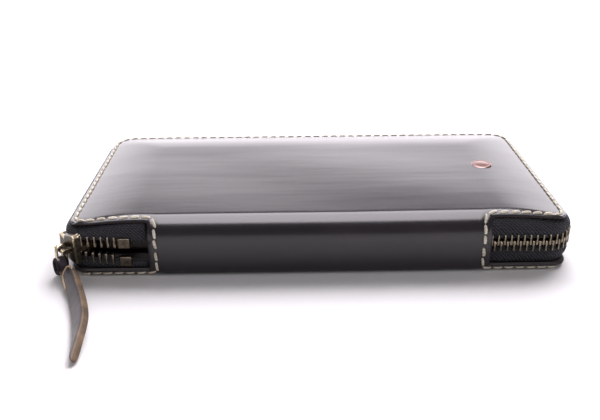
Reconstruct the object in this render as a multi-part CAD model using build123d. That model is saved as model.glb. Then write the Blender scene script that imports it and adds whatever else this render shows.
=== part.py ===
from build123d import *
from math import asin, cos, degrees, hypot, pi, radians, sin
import os

# Zip-around long wallet, lying flat.  Millimetres.  X runs along the spine, +Y points away from
# the spine, +Z is up, and the origin is the centre of the bottom face.

# ---------------------------------------------------------------- driving dimensions
LENGTH = 200.0                    # over the zip, along the spine
DEPTH = 105.0                     # spine leather to the zip at the back
HEIGHT = 24.0                     # flat middle of the top cover
LEATHER = 1.6                     # cover leather thickness
GAP = 0.1                         # between stacked leather layers

SPINE_Y = -DEPTH / 2              # outer face of the spine leather
SPINE_HALF = 65.5                 # half length of the spine leather
TOP_BEND = 6.4                    # outer radius of the fold into the top cover
BOTTOM_BEND = 4.4                 # outer radius of the fold into the bottom cover
HINGE_Y = SPINE_Y + LEATHER / 2   # fold lines, in the middle of the leather
HINGE_TOP_Z = HEIGHT - TOP_BEND
HINGE_BOTTOM_Z = BOTTOM_BEND
FOLD_CLEARANCE = 0.1              # between the spine's round ends and the covers' fold ends

COVER_HALF = 97.3                 # half length of a cover, inside the zip's outermost line
COVER_FRONT = -47.7               # cover edge beside the spine leather
COVER_BACK = 49.7
COVER_CORNER = 10.0
DROOP = 4.0                       # how far the top cover's edges hang below its middle
FLAT_HALF = 70.0                  # flat part of the top, along X
FLAT_BACK = 25.0                  # flat part of the top, towards the back

STITCH_INSET = 3.2                # thread line from the leather's edge
STITCH_PITCH = 4.3
STITCH_LENGTH = 3.3
STITCH_WIDTH = 0.9
GROOVE_WIDTH = 1.1
GROOVE_DEPTH = 0.45

ZIP_FRONT = -50.5                 # outer face of the chain, beside the spine leather
ZIP_BACK = DEPTH / 2
ZIP_HALF = LENGTH / 2
ZIP_RADIUS = 12.0                 # outer face of the chain at the four corners
ZIP_Z = (HINGE_TOP_Z + HINGE_BOTTOM_Z) / 2
TOOTH_PITCH = 2.5                 # a number 5 metal zip
TOOTH_WIDTH = 1.0
TOOTH_DEPTH = 2.4
TOOTH_HEIGHT = 4.2
TOOTH_OVERLAP = 1.6               # how far the two rows mesh
TOOTH_LEG = 1.8                   # the split part that grips the tape
TAPE = 0.6
TAPE_PLAY = 0.05
TAPE_FLANGE = 4.0                 # sewn between cover and lining
LEFT_TAPE_END = -66.5
RIGHT_TAPE_END = 58.0
STOP_LENGTH = 4.5
STOP_HEIGHT = 4.0
STOP_X = -73.0                    # right end of both top stops

SLIDER_HALF = 5.4                 # half length of the slider
SLIDER_TAIL = 2.5                 # where the rows meet, behind the slider's middle
SLIDER_FACE = 13.6                # outer plate, from the corner's centre
SLIDER_ANGLE = 225.0              # where the slider stands on the front left corner
PLATE = 1.3
CHANNEL_PLAY = 0.3
SPREAD_SLOPE = 0.24               # how fast the rows part towards the slider's mouth
OPEN_UPPER = 1.1                  # rise of the upper row at its stop
OPEN_LOWER = 4.4                  # fall of the lower row at its stop

BAIL_WIRE = 0.6                   # wire radius
BAIL_WIDTH = 5.0
BAIL_HEIGHT = 11.0
CROWN_RADIUS = 1.0
BAIL_RADIUS = 16.55               # bail's pivot from the corner's centre
STRAP_WIDTH = 7.0
STRAP_THICK = 2.8
STRAP_NECK = 7.0                  # from the bail to where the pull has its full width
STRAP_POINTS = [(-97.0, -55.0), (-87.2, -80.0), (-83.4, -101.0)]

CARD_HALF = 89.0                  # half width of the card pockets
CARD_FRONT = -44.0
CARD_STEP = 12.0                  # each pocket's mouth stands this far behind the next
CARD_LEATHER = 0.5
CARD_MOUTHS = [38.0 - CARD_STEP * row for row in range(4)]

COIN_HALF = 85.0
COIN_BACK = -43.8                 # closed end of the coin pocket, behind the spine
COIN_MOUTH = 35.5
COIN_LOW = 7.5
COIN_HIGH = 14.8
COIN_WALL = 0.6
COIN_ZIP_Y = 36.2                 # outer face of the coin zip
COIN_ZIP_Z = (COIN_LOW + COIN_HIGH) / 2
COIN_PITCH = 2.0
COIN_SLIDER_X = 72.0
COIN_TEETH = 76

GUSSET = 0.3
GUSSET_RISE = 0.65                # between the edge and the fold of a closed gusset
GUSSET_MOUTH = 10.0               # where the gussets end, towards the back

os.makedirs("parts", exist_ok=True)


# ---------------------------------------------------------------- helpers
def block(x0, x1, y0, y1, z0, z1):
    """A box between six limits."""
    middle = ((x0 + x1) / 2, (y0 + y1) / 2, (z0 + z1) / 2)
    return Pos(*middle) * Box(x1 - x0, y1 - y0, z1 - z0)


def rod_x(radius, x0, x1, y, z):
    """A rod along X."""
    return Pos((x0 + x1) / 2, y, z) * Rot(0, 90, 0) * Cylinder(radius, x1 - x0)


def rounded_sheet(half, front, back, corner):
    """A flat rounded rectangle, symmetrical in X."""
    return Pos(0, (front + back) / 2) * RectangleRounded(2 * half, back - front, corner)


def plate(outline, z0, z1):
    """An outline in XY, given a thickness."""
    return extrude(Pos(0, 0, z0) * outline, z1 - z0)


def droop_radius(run):
    """Radius of the arc that falls by DROOP over a run."""
    return (run * run + DROOP * DROOP) / (2 * DROOP)


def under_dome(z_top):
    """Everything under the wallet's top shape when its flat middle lies at z_top."""
    low = 10.0
    far_x = ZIP_HALF + 5
    far_y = ZIP_BACK + 5
    radius_y = droop_radius(COVER_BACK - FLAT_BACK)
    turn_y = asin((far_y - FLAT_BACK) / radius_y)
    bend = z_top - HINGE_TOP_Z
    bend_y = SPINE_Y + TOP_BEND
    profile = Polyline((far_y, z_top - radius_y * (1 - cos(turn_y))), (far_y, low), (bend_y - bend, low),
                       (bend_y - bend, HINGE_TOP_Z))
    profile += CenterArc((bend_y, HINGE_TOP_Z), bend, 90, 90)
    profile += Line((bend_y, z_top), (FLAT_BACK, z_top))
    profile += CenterArc((FLAT_BACK, z_top - radius_y), radius_y, 90, -degrees(turn_y))
    along_x = extrude(Plane.YZ.offset(-far_x) * make_face(profile), 2 * far_x)

    radius_x = droop_radius(COVER_HALF - FLAT_HALF)
    turn_x = asin((far_x - FLAT_HALF) / radius_x)
    edge = z_top - radius_x * (1 - cos(turn_x))
    section = Polyline((far_x, edge), (far_x, low), (-far_x, low), (-far_x, edge))
    section += CenterArc((-FLAT_HALF, z_top - radius_x), radius_x, 90 + degrees(turn_x), -degrees(turn_x))
    section += Line((-FLAT_HALF, z_top), (FLAT_HALF, z_top))
    section += CenterArc((FLAT_HALF, z_top - radius_x), radius_x, 90, -degrees(turn_x))
    along_y = extrude(Plane.XZ.offset(-far_y) * make_face(section), 2 * far_y)
    return along_x & along_y


def domed_layer(outline, z_top, thickness):
    """A sheet that follows the top cover's droop."""
    column = plate(outline, 12.0, HEIGHT + 2)
    return column & (under_dome(z_top) - under_dome(z_top - thickness))


def save(node, shape):
    """Write one named sub-part."""
    export_step(shape, f"parts/{node}.step")


def group(solids):
    """Separate solids in one node."""
    return Compound(children=[solid for piece in solids for solid in piece.solids()])


# ---------------------------------------------------------------- outer leather and its thread
def cover_outline():
    """A cover's plan: rounded sheet, with the tab that folds into the spine."""
    tab = Pos(0, (SPINE_Y + COVER_CORNER + COVER_FRONT) / 2) * Rectangle(
        2 * SPINE_HALF, COVER_FRONT + COVER_CORNER - SPINE_Y)
    return rounded_sheet(COVER_HALF, COVER_FRONT, COVER_BACK, COVER_CORNER) + tab


def stitch_ring(width):
    """The band that the thread line runs in, round three sides and beside the spine."""
    out = STITCH_INSET - width / 2
    inn = STITCH_INSET + width / 2
    outer = rounded_sheet(COVER_HALF - out, COVER_FRONT + out, COVER_BACK - out, COVER_CORNER - out)
    inner = rounded_sheet(COVER_HALF - inn, COVER_FRONT + inn, COVER_BACK - inn, COVER_CORNER - inn)
    spine = Pos(0, COVER_FRONT) * Rectangle(2 * SPINE_HALF, 4 * COVER_CORNER)
    return outer - inner - spine


def stitch_places():
    """Middle and heading of every stitch on a cover, spaced along the thread line."""
    radius = COVER_CORNER - STITCH_INSET
    side = COVER_HALF - STITCH_INSET
    front = COVER_FRONT + STITCH_INSET
    back = COVER_BACK - STITCH_INSET
    run = side - radius
    runs = [
        ((-SPINE_HALF, front), (-run, front), None),
        ((-run, front + radius), 270, 180),
        ((-side, front + radius), (-side, back - radius), None),
        ((-run, back - radius), 180, 90),
        ((-run, back), (run, back), None),
        ((run, back - radius), 90, 0),
        ((side, back - radius), (side, front + radius), None),
        ((run, front + radius), 0, -90),
        ((run, front), (SPINE_HALF, front), None),
    ]
    lengths = [radius * pi / 2 if last is not None else hypot(end[0] - start[0], end[1] - start[1])
               for start, end, last in runs]
    count = int(sum(lengths) / STITCH_PITCH)
    pitch = sum(lengths) / count
    places = []
    for index in range(count):
        way = (index + 0.5) * pitch
        step = 0
        while way > lengths[step]:
            way -= lengths[step]
            step += 1
        start, end, last = runs[step]
        part = way / lengths[step]
        if last is None:
            x = start[0] + (end[0] - start[0]) * part
            y = start[1] + (end[1] - start[1]) * part
            heading = 0 if abs(end[0] - start[0]) > abs(end[1] - start[1]) else 90
        else:
            angle = end + (last - end) * part
            x = start[0] + radius * cos(radians(angle))
            y = start[1] + radius * sin(radians(angle))
            heading = angle + 90
        places.append((x, y, heading))
    return places


def stitch_prisms(z0, z1):
    """Upright prisms, one for each stitch on a cover."""
    shape = SlotOverall(STITCH_LENGTH, STITCH_WIDTH)
    return [plate(Pos(x, y) * Rot(0, 0, heading) * shape, z0, z1) for x, y, heading in stitch_places()]


def cover_top():
    """Top cover with its fold, groove and the recess under the stud."""
    column = plate(cover_outline(), HINGE_TOP_Z, HEIGHT + 2)
    shell = column & (under_dome(HEIGHT) - under_dome(HEIGHT - LEATHER))
    pivot = LEATHER / 2 + FOLD_CLEARANCE
    shell -= rod_x(pivot, -SPINE_HALF - 1, SPINE_HALF + 1, HINGE_Y, HINGE_TOP_Z)
    groove = plate(stitch_ring(GROOVE_WIDTH), 12.0, HEIGHT + 2) - under_dome(HEIGHT - GROOVE_DEPTH)
    shell -= groove
    return shell - Pos(STUD_X, STUD_Y, HEIGHT) * Cylinder(STUD_RADIUS + 0.05, 2 * STUD_RECESS)


def cover_bottom():
    """Bottom cover with its fold and groove."""
    bend_y = SPINE_Y + BOTTOM_BEND
    shell = plate(rounded_sheet(COVER_HALF, COVER_FRONT, COVER_BACK, COVER_CORNER), 0, LEATHER)
    shell += block(-SPINE_HALF, SPINE_HALF, bend_y, COVER_FRONT + COVER_CORNER, 0, LEATHER)
    fold = rod_x(BOTTOM_BEND, -SPINE_HALF, SPINE_HALF, bend_y, HINGE_BOTTOM_Z)
    fold -= rod_x(BOTTOM_BEND - LEATHER, -SPINE_HALF, SPINE_HALF, bend_y, HINGE_BOTTOM_Z)
    fold &= block(-SPINE_HALF, SPINE_HALF, SPINE_Y - 1, bend_y, -1, HINGE_BOTTOM_Z)
    shell += fold
    pivot = LEATHER / 2 + FOLD_CLEARANCE
    shell -= rod_x(pivot, -SPINE_HALF - 1, SPINE_HALF + 1, HINGE_Y, HINGE_BOTTOM_Z)
    return shell - plate(stitch_ring(GROOVE_WIDTH), -1, GROOVE_DEPTH)


def spine_leather():
    """Spine leather: a strip whose long edges are round about the fold lines."""
    strip = block(-SPINE_HALF, SPINE_HALF, SPINE_Y, SPINE_Y + LEATHER, HINGE_BOTTOM_Z, HINGE_TOP_Z)
    for z in (HINGE_BOTTOM_Z, HINGE_TOP_Z):
        strip += rod_x(LEATHER / 2, -SPINE_HALF, SPINE_HALF, HINGE_Y, z)
    for side in (-1, 1):
        x = side * (SPINE_HALF - STITCH_INSET)
        strip -= block(x - GROOVE_WIDTH / 2, x + GROOVE_WIDTH / 2, SPINE_Y - 1, SPINE_Y + GROOVE_DEPTH,
                       HINGE_BOTTOM_Z, HINGE_TOP_Z)
    return strip


def spine_stitches():
    """Thread down both ends of the spine leather."""
    bar = extrude(Rot(90, 0, 0) * Rot(0, 0, 90) * SlotOverall(STITCH_LENGTH, STITCH_WIDTH), GROOVE_DEPTH)
    y = SPINE_Y + GROOVE_DEPTH - 0.02
    return [Pos(side * (SPINE_HALF - STITCH_INSET), y, ZIP_Z + row * STITCH_PITCH) * bar
            for side in (-1, 1) for row in (-1, 0, 1)]


STUD_X = 73.0
STUD_Y = 0.0
STUD_RADIUS = 4.5
STUD_RECESS = 0.5
STUD_HEIGHT = 0.8


def emblem_stud():
    """A plain round stud with a raised middle, set into the top cover."""
    disc = Pos(STUD_X, STUD_Y, HEIGHT - STUD_RECESS + STUD_HEIGHT / 2) * Cylinder(STUD_RADIUS, STUD_HEIGHT)
    return chamfer(disc.edges().group_by(Axis.Z)[-1], 0.25)


# ---------------------------------------------------------------- the main zip
def zip_sheet(depth):
    """Plan of the zip's line at a depth behind the chain's outer face."""
    return rounded_sheet(ZIP_HALF - depth, ZIP_FRONT + depth, ZIP_BACK - depth, ZIP_RADIUS - depth)


def zip_band(depth0, depth1):
    """Plan of a strip that follows the zip, open along the spine."""
    middle = (LEFT_TAPE_END + RIGHT_TAPE_END) / 2
    opening = Pos(middle, ZIP_FRONT) * Rectangle(RIGHT_TAPE_END - LEFT_TAPE_END, 4 * ZIP_RADIUS)
    return zip_sheet(depth0) - zip_sheet(depth1) - opening


def zip_place(way):
    """Point and outward heading on the chain's outer face.  way is measured at half the depth."""
    centre_x = ZIP_HALF - ZIP_RADIUS
    front_y = ZIP_FRONT + ZIP_RADIUS
    back_y = ZIP_BACK - ZIP_RADIUS
    corner = (ZIP_RADIUS - TOOTH_DEPTH / 2) * pi / 2
    runs = [
        (centre_x + LEFT_TAPE_END, (LEFT_TAPE_END, ZIP_FRONT), 270),
        (back_y - front_y, (-ZIP_HALF, front_y), 180),
        (2 * centre_x, (-centre_x, ZIP_BACK), 90),
        (back_y - front_y, (ZIP_HALF, back_y), 0),
        (centre_x - RIGHT_TAPE_END, (centre_x, ZIP_FRONT), -90),
    ]
    centres = [(-centre_x, front_y), (-centre_x, back_y), (centre_x, back_y), (centre_x, front_y)]
    for index, (length, start, outward) in enumerate(runs):
        if way <= length or index == len(runs) - 1:
            heading = radians(outward - 90)
            return start[0] + way * cos(heading), start[1] + way * sin(heading), outward
        way -= length
        if way <= corner:
            angle = outward - 90 * way / corner
            x = centres[index][0] + ZIP_RADIUS * cos(radians(angle))
            y = centres[index][1] + ZIP_RADIUS * sin(radians(angle))
            return x, y, angle
        way -= corner
    return None


FRONT_RUN = ZIP_HALF - ZIP_RADIUS + LEFT_TAPE_END
CORNER_RUN = (ZIP_RADIUS - TOOTH_DEPTH / 2) * pi / 2
SIDE_RUN = ZIP_BACK - ZIP_FRONT - 2 * ZIP_RADIUS
BACK_RUN = 2 * (ZIP_HALF - ZIP_RADIUS)
END_RUN = ZIP_HALF - ZIP_RADIUS - RIGHT_TAPE_END
ZIP_RUN = FRONT_RUN + 4 * CORNER_RUN + 2 * SIDE_RUN + BACK_RUN + END_RUN
SLIDER_WAY = FRONT_RUN + CORNER_RUN * (270 - SLIDER_ANGLE) / 90
MOUTH_WAY = SLIDER_WAY - SLIDER_HALF - 0.25
MEET_WAY = SLIDER_WAY + SLIDER_TAIL
STOP_WAY = LEFT_TAPE_END - STOP_X
FIRST_TOOTH = STOP_WAY + STOP_LENGTH + 1.4
LAST_TOOTH = ZIP_RUN - 5.0


def row_shift(way, at_stop):
    """How far a row stands away from its closed place."""
    if way >= MEET_WAY:
        return 0.0
    mouth = (MEET_WAY - MOUTH_WAY) * SPREAD_SLOPE
    if way >= MOUTH_WAY:
        return (MEET_WAY - way) * SPREAD_SLOPE
    part = (MOUTH_WAY - way) / (MOUTH_WAY - STOP_WAY)
    return mouth + (at_stop - mouth) * part


def clip(length, head, leg, depth=TOOTH_DEPTH, tape=TAPE):
    """A metal clip on the tape's edge: solid head at z 0 to head, two legs above it.

    Local X is outward with the outer face at 0, Y is along the tape."""
    slot = tape / 2 + TAPE_PLAY
    solid = block(-depth, 0, -length / 2, length / 2, 0, head + leg)
    return solid - block(-depth / 2 - slot, -depth / 2 + slot, -length, length, head, head + leg + 1)


def place_on_zip(piece, way, z, upside_down=False):
    """Stand a clip on the zip's line, head down for the upper row."""
    x, y, outward = zip_place(way)
    turn = Rot(180, 0, 0) if upside_down else Rot(0, 0, 0)
    return Location((x, y, z), (0, 0, outward)) * turn * piece


def teeth(upper):
    """One row of teeth, from the top stop to the bottom stop."""
    tooth = clip(TOOTH_WIDTH, TOOTH_HEIGHT - TOOTH_LEG, TOOTH_LEG)
    sign = 1 if upper else -1
    way = FIRST_TOOTH + (0 if upper else TOOTH_PITCH / 2)
    row = []
    while way < LAST_TOOTH:
        shift = row_shift(way, OPEN_UPPER if upper else OPEN_LOWER)
        z = ZIP_Z + sign * (shift - TOOTH_OVERLAP / 2)
        row.append(place_on_zip(tooth, way, z, not upper))
        way += TOOTH_PITCH
    return row


def zip_tape(upper):
    """A tape: upright web behind the chain and a flange that goes between cover and lining."""
    sign = 1 if upper else -1
    grip = ZIP_Z + sign * (TOOTH_HEIGHT - TOOTH_LEG - TOOTH_OVERLAP / 2 + TAPE_PLAY)
    flange = HEIGHT - DROOP - LEATHER - 0.3 if upper else LEATHER + 0.1
    web_depth = (TOOTH_DEPTH - TAPE) / 2
    web = plate(zip_band(web_depth, web_depth + TAPE), min(grip, flange), max(grip, flange))
    sheet_low = flange - 0.5 if upper else flange
    web += plate(zip_band(web_depth, web_depth + TAPE + TAPE_FLANGE), sheet_low, sheet_low + 0.5)
    if not upper:
        web -= block(RIGHT_TAPE_END - 1, SPINE_HALF + 1, ZIP_FRONT - 1, SPINE_Y + BOTTOM_BEND + 0.1, 0, 3.0)
    knots = [(LEFT_TAPE_END + 1, STOP_WAY), (STOP_X - STOP_LENGTH - 0.3, STOP_WAY),
             (-ZIP_HALF + ZIP_RADIUS, FRONT_RUN), (-92.2, MOUTH_WAY), (-96.9, MEET_WAY)]
    at_stop = OPEN_UPPER if upper else OPEN_LOWER
    edge = [(x, grip + sign * (row_shift(way, at_stop) + 0.25)) for x, way in knots]
    outline = edge + [(-ZIP_HALF, grip), (-ZIP_HALF, ZIP_Z), (LEFT_TAPE_END + 1, ZIP_Z)]
    wedge = make_face(Polyline(*outline, close=True))
    return web - extrude(Plane.XZ.offset(43.5) * wedge, 15)


def top_stop(upper):
    """Metal stop at the start of a row."""
    head = 2.4
    piece = clip(STOP_LENGTH, head, STOP_HEIGHT - head, depth=2.8)
    sign = 1 if upper else -1
    shift = OPEN_UPPER if upper else OPEN_LOWER
    z = ZIP_Z + sign * (shift - TOOTH_OVERLAP / 2)
    x, y, outward = zip_place(STOP_WAY + STOP_LENGTH / 2)
    turn = Rot(0, 0, 0) if upper else Rot(180, 0, 0)
    return Location((x, y - 0.2, z), (0, 0, outward)) * turn * piece


def bottom_stop():
    """Block that closes both rows, hidden behind the spine's right end."""
    x0 = RIGHT_TAPE_END + 0.3
    stop = block(x0, x0 + 3.0, ZIP_FRONT, ZIP_FRONT + TOOTH_DEPTH, ZIP_Z - 2.6, ZIP_Z + 2.6)
    slot_y = ZIP_FRONT + TOOTH_DEPTH / 2
    slot = TAPE / 2 + TAPE_PLAY
    for side in (-1, 1):
        z0, z1 = sorted((ZIP_Z + side * 1.5, ZIP_Z + side * 4.0))
        stop -= block(x0 - 1, x0 + 4, slot_y - slot, slot_y + slot, z0, z1)
    return stop


# ---------------------------------------------------------------- slider, bail and strap
CORNER_X = -ZIP_HALF + ZIP_RADIUS
CORNER_Y = ZIP_FRONT + ZIP_RADIUS
CHANNEL_OUT = ZIP_RADIUS + CHANNEL_PLAY
CHANNEL_IN = ZIP_RADIUS - TOOTH_DEPTH - CHANNEL_PLAY


def at_corner(z=ZIP_Z):
    """The slider's frame: X outward, Y towards its mouth, at the corner's centre."""
    return Location((CORNER_X, CORNER_Y, z), (0, 0, SLIDER_ANGLE))


def tube(outer, inner, height):
    """An upright tube about the origin."""
    return Cylinder(outer, height) - Cylinder(inner, height + 1)


def side_shape(tail_half, mouth_half):
    """Side view of the slider, as a plate across local X: narrow tail and wide mouth."""
    points = [(-SLIDER_HALF, tail_half - 0.9), (-SLIDER_HALF + 0.9, tail_half), (-SLIDER_TAIL, tail_half),
              (SLIDER_HALF - 1.2, mouth_half), (SLIDER_HALF, mouth_half - 0.8)]
    return make_face(Polyline(*points, *[(y, -z) for y, z in reversed(points)], close=True))


def slider_body():
    """Two plates joined by a wedge, with lips that wrap round the chain."""
    chain = TOOTH_HEIGHT - TOOTH_OVERLAP / 2
    tail = chain + 0.2
    mouth = tail + (SLIDER_HALF + SLIDER_TAIL) * (SPREAD_SLOPE + 0.02)
    body = extrude(Plane.YZ.offset(5.0) * side_shape(tail + 0.9, mouth + 0.5), SLIDER_FACE - 5.0)
    body -= Cylinder(CHANNEL_IN - PLATE, 20)
    span = SLIDER_HALF + 1
    rise = (SLIDER_HALF + SLIDER_TAIL) * (SPREAD_SLOPE + 0.02)
    beyond = tail + rise * (span + SLIDER_TAIL) / (SLIDER_HALF + SLIDER_TAIL)
    channel_points = [(-span, tail), (-SLIDER_TAIL, tail), (span, beyond)]
    channel_face = make_face(Polyline(*channel_points, *[(y, -z) for y, z in reversed(channel_points)],
                                      close=True))
    channel = extrude(Plane.YZ.offset(5.0) * channel_face, 9.0) & tube(CHANNEL_OUT, CHANNEL_IN, 20)
    body -= channel
    tape_out = ZIP_RADIUS - (TOOTH_DEPTH - TAPE) / 2
    body -= tube(tape_out + 0.3, tape_out - TAPE - 0.3, 20)
    wedge_face = make_face(Polyline((1.5, 0.0), (SLIDER_HALF, 0.95), (SLIDER_HALF, -0.95), close=True))
    wedge = extrude(Plane.YZ.offset(CHANNEL_IN - PLATE / 2 - 1) * wedge_face, SLIDER_FACE - CHANNEL_IN)
    wedge &= tube(SLIDER_FACE, CHANNEL_IN - PLATE, 20)
    return at_corner() * (body + wedge)


def slider_bridge():
    """Arch on the outer plate: a round crown bar on two legs."""
    half = 2.6
    bar = Pos(BAIL_RADIUS, 0, 0) * Rot(90, 0, 0) * Cylinder(CROWN_RADIUS, 2 * half)
    legs = [block(SLIDER_FACE, BAIL_RADIUS + CROWN_RADIUS, side * half - 0.5, side * half + 0.5,
                  -CROWN_RADIUS, CROWN_RADIUS) for side in (-1, 1)]
    return at_corner(BAIL_TOP_Z) * (bar + legs[0] + legs[1])


BAIL_TURN = BAIL_WIDTH / 2 - BAIL_WIRE          # radius of the wire's centre line in its end bends
BAIL_DROP = BAIL_HEIGHT - BAIL_WIDTH            # distance between the centres of the two bends
BAIL_TOP_Z = ZIP_Z - 0.2


def wire_bend():
    """Half a ring of the bail's wire, open downwards, in local XZ."""
    ring = Rot(90, 0, 0) * Torus(BAIL_TURN, BAIL_WIRE)
    return ring & block(-5, 5, -5, 5, 0, 5)


def pull_bail():
    """Long wire link that hangs on the crown bar."""
    link = wire_bend() + Pos(0, 0, -BAIL_DROP) * Rot(180, 0, 0) * wire_bend()
    for side in (-1, 1):
        link += Pos(side * BAIL_TURN, 0, -BAIL_DROP / 2) * Cylinder(BAIL_WIRE, BAIL_DROP)
    return at_corner(BAIL_TOP_Z) * Pos(BAIL_RADIUS, 0, 0) * link


def pull_strap():
    """Thick leather pull: an eye round the bail's lower bend, a neck and a bent tab on the table."""
    eye_z = BAIL_TOP_Z - BAIL_DROP - BAIL_TURN
    eye_out = 2.3
    eye_width = BAIL_WIDTH - 4 * BAIL_WIRE - 0.4
    out = radians(SLIDER_ANGLE)
    eye_x = CORNER_X + BAIL_RADIUS * cos(out)
    eye_y = CORNER_Y + BAIL_RADIUS * sin(out)
    floor = 0.05
    top = floor + STRAP_THICK
    eye = Rot(0, 90, 0) * Cylinder(eye_out, eye_width)
    neck = block(-eye_width / 2, eye_width / 2, 0, STRAP_NECK, floor - eye_z, 0)
    bore = Rot(0, 90, 0) * Cylinder(1.3, eye_width + 2)
    head = Location((eye_x, eye_y, eye_z), (0, 0, SLIDER_ANGLE)) * (eye + neck - bore)
    (ax, ay), (bx, by), (cx, cy) = STRAP_POINTS
    half = STRAP_WIDTH / 2
    first = hypot(bx - ax, by - ay)
    side_x = -(by - ay) / first * half
    side_y = (bx - ax) / first * half
    tab = make_face(Polyline((ax - side_x, ay - side_y), (ax + side_x, ay + side_y), (bx + half, by - 1.0),
                             (cx + 1.2, cy), (cx - 1.6, cy), (bx - half, by + 1.0), close=True))
    return head + plate(tab, floor, top)


# ---------------------------------------------------------------- linings and card pockets
def lining_sheet():
    """Plan of the linings."""
    return rounded_sheet(92.5, -44.8, 45.0, 6.0)


def card_sheet(mouth):
    """Plan of a card pocket whose mouth lies at a given Y."""
    return rounded_sheet(CARD_HALF, CARD_FRONT, mouth, 2.0)


def save_card_pockets():
    """Four stepped card pockets over a panel, on both covers."""
    low = LEATHER + GAP + 0.5 + GAP
    save("card_panel_bottom", plate(card_sheet(42.0), low, low + 0.6))
    high = HEIGHT - low
    save("card_panel_top", domed_layer(card_sheet(42.0), high, 0.6))
    for row, mouth in enumerate(CARD_MOUTHS):
        lift = 0.6 + GAP + row * (CARD_LEATHER + GAP)
        z0 = low + lift
        save(f"card_pocket_bottom_{row + 1}", plate(card_sheet(mouth), z0, z0 + CARD_LEATHER))
        save(f"card_pocket_top_{row + 1}", domed_layer(card_sheet(mouth), high - lift, CARD_LEATHER))


def gusset(side, z_low, upper):
    """A V-folded side panel: one edge on a cover's lining, the other on the coin pocket."""
    outer = side * 93.0
    inner = side * 86.0
    fold = side * 72.0
    first, last = (inner, outer) if upper else (outer, inner)
    z_fold = z_low + GUSSET_RISE
    z_high = z_low + 2 * GUSSET_RISE
    crease = fold + side * GUSSET * 12
    profile = Polyline((first, z_low - GUSSET), (fold, z_fold), (last, z_high + GUSSET), (last, z_high),
                       (crease, z_fold), (first, z_low), close=True)
    return extrude(Plane.XZ.offset(-GUSSET_MOUTH) * make_face(profile), GUSSET_MOUTH - CARD_FRONT)


# ---------------------------------------------------------------- coin pocket and its zip
def save_coin_pocket():
    """Zipped pocket between the covers, hinged with the spine."""
    walls = rounded_sheet(COIN_HALF, COIN_BACK, COIN_MOUTH, 1.0)
    save("coin_pocket_lower_wall", plate(walls, COIN_LOW, COIN_LOW + COIN_WALL))
    save("coin_pocket_upper_wall", plate(walls, COIN_HIGH - COIN_WALL, COIN_HIGH))
    z0 = COIN_LOW + COIN_WALL + 0.05
    z1 = COIN_HIGH - COIN_WALL - 0.05
    for name, side in (("left", -1), ("right", 1)):
        x = side * (COIN_HALF - 0.4)
        save(f"coin_pocket_side_{name}", block(x - 0.3, x + 0.3, COIN_BACK + 0.8, COIN_MOUTH - 2.0, z0, z1))
    save("coin_pocket_base", block(-COIN_HALF + 1, COIN_HALF - 1, COIN_BACK + 0.1, COIN_BACK + 0.7, z0, z1))


def coin_row(upper):
    """One row of the coin zip's teeth."""
    tooth = clip(0.8, 1.7, 1.2, depth=2.0, tape=0.5)
    turn = Rot(0, 0, 0) if upper else Rot(180, 0, 0)
    sign = 1 if upper else -1
    start = -78.0 + (0 if upper else COIN_PITCH / 2)
    z = COIN_ZIP_Z - sign * 0.75
    return [Location((start + COIN_PITCH * index, COIN_ZIP_Y, z), (0, 0, 90)) * turn * tooth
            for index in range(COIN_TEETH)]


def save_coin_zip():
    """Teeth, tapes and stops across the coin pocket's mouth."""
    save("coin_zip_teeth_upper", group(coin_row(True)))
    save("coin_zip_teeth_lower", group(coin_row(False)))
    y0 = COIN_ZIP_Y - 1.25
    y1 = COIN_ZIP_Y - 0.75
    save("coin_zip_tape_lower", block(-82, 82, y0, y1, COIN_LOW + COIN_WALL + 0.05, COIN_ZIP_Z - 1.0))
    save("coin_zip_tape_upper", block(-82, 82, y0, y1, COIN_ZIP_Z + 1.0, COIN_HIGH - COIN_WALL - 0.05))
    for name, x in (("open_end", -81.4), ("closed_end", 79.4)):
        stop = block(x, x + 2.0, COIN_ZIP_Y - 2.0, COIN_ZIP_Y, COIN_ZIP_Z - 2.1, COIN_ZIP_Z + 2.1)
        for z0, z1 in ((COIN_ZIP_Z - 3, COIN_ZIP_Z - 0.95), (COIN_ZIP_Z + 0.95, COIN_ZIP_Z + 3)):
            stop -= block(x - 1, x + 3, y0 - 0.05, y1 + 0.05, z0, z1)
        save(f"coin_zip_stop_{name}", stop)


COIN_FACE = COIN_ZIP_Y + 1.5
COIN_PIN_Y = COIN_FACE + 1.4


def coin_slider_body():
    """The coin zip's slider: two plates, lips and a wedge."""
    half = 4.0
    tall = 2.75
    body = block(COIN_SLIDER_X - half, COIN_SLIDER_X + half, COIN_ZIP_Y - 3.3, COIN_FACE, COIN_ZIP_Z - tall,
                 COIN_ZIP_Z + tall)
    body = chamfer(body.edges().filter_by(Axis.Y), 0.7)
    body -= block(COIN_SLIDER_X - 9, COIN_SLIDER_X + 9, COIN_ZIP_Y - 2.15, COIN_ZIP_Y + 0.15,
                  COIN_ZIP_Z - 2.3, COIN_ZIP_Z + 2.3)
    lip = block(COIN_SLIDER_X - 9, COIN_SLIDER_X + 9, COIN_ZIP_Y - 1.4, COIN_ZIP_Y - 0.6, COIN_ZIP_Z - 4,
                COIN_ZIP_Z + 4)
    body -= lip
    x0 = COIN_SLIDER_X + half - 1.0
    column = block(x0, x0 + 0.8, COIN_ZIP_Y - 2.5, COIN_ZIP_Y + 0.5, COIN_ZIP_Z - 0.5, COIN_ZIP_Z + 0.5)
    return body + column


def coin_slider_bridge():
    """Two lugs and an upright pin on the coin slider's face."""
    pin = Pos(COIN_SLIDER_X, COIN_PIN_Y, COIN_ZIP_Z) * Cylinder(0.45, 4.0)
    lugs = [block(COIN_SLIDER_X - 0.9, COIN_SLIDER_X + 0.9, COIN_FACE, COIN_PIN_Y + 0.9, z, z + 0.8)
            for z in (COIN_ZIP_Z - 2.0, COIN_ZIP_Z + 1.2)]
    return pin + lugs[0] + lugs[1]


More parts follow.
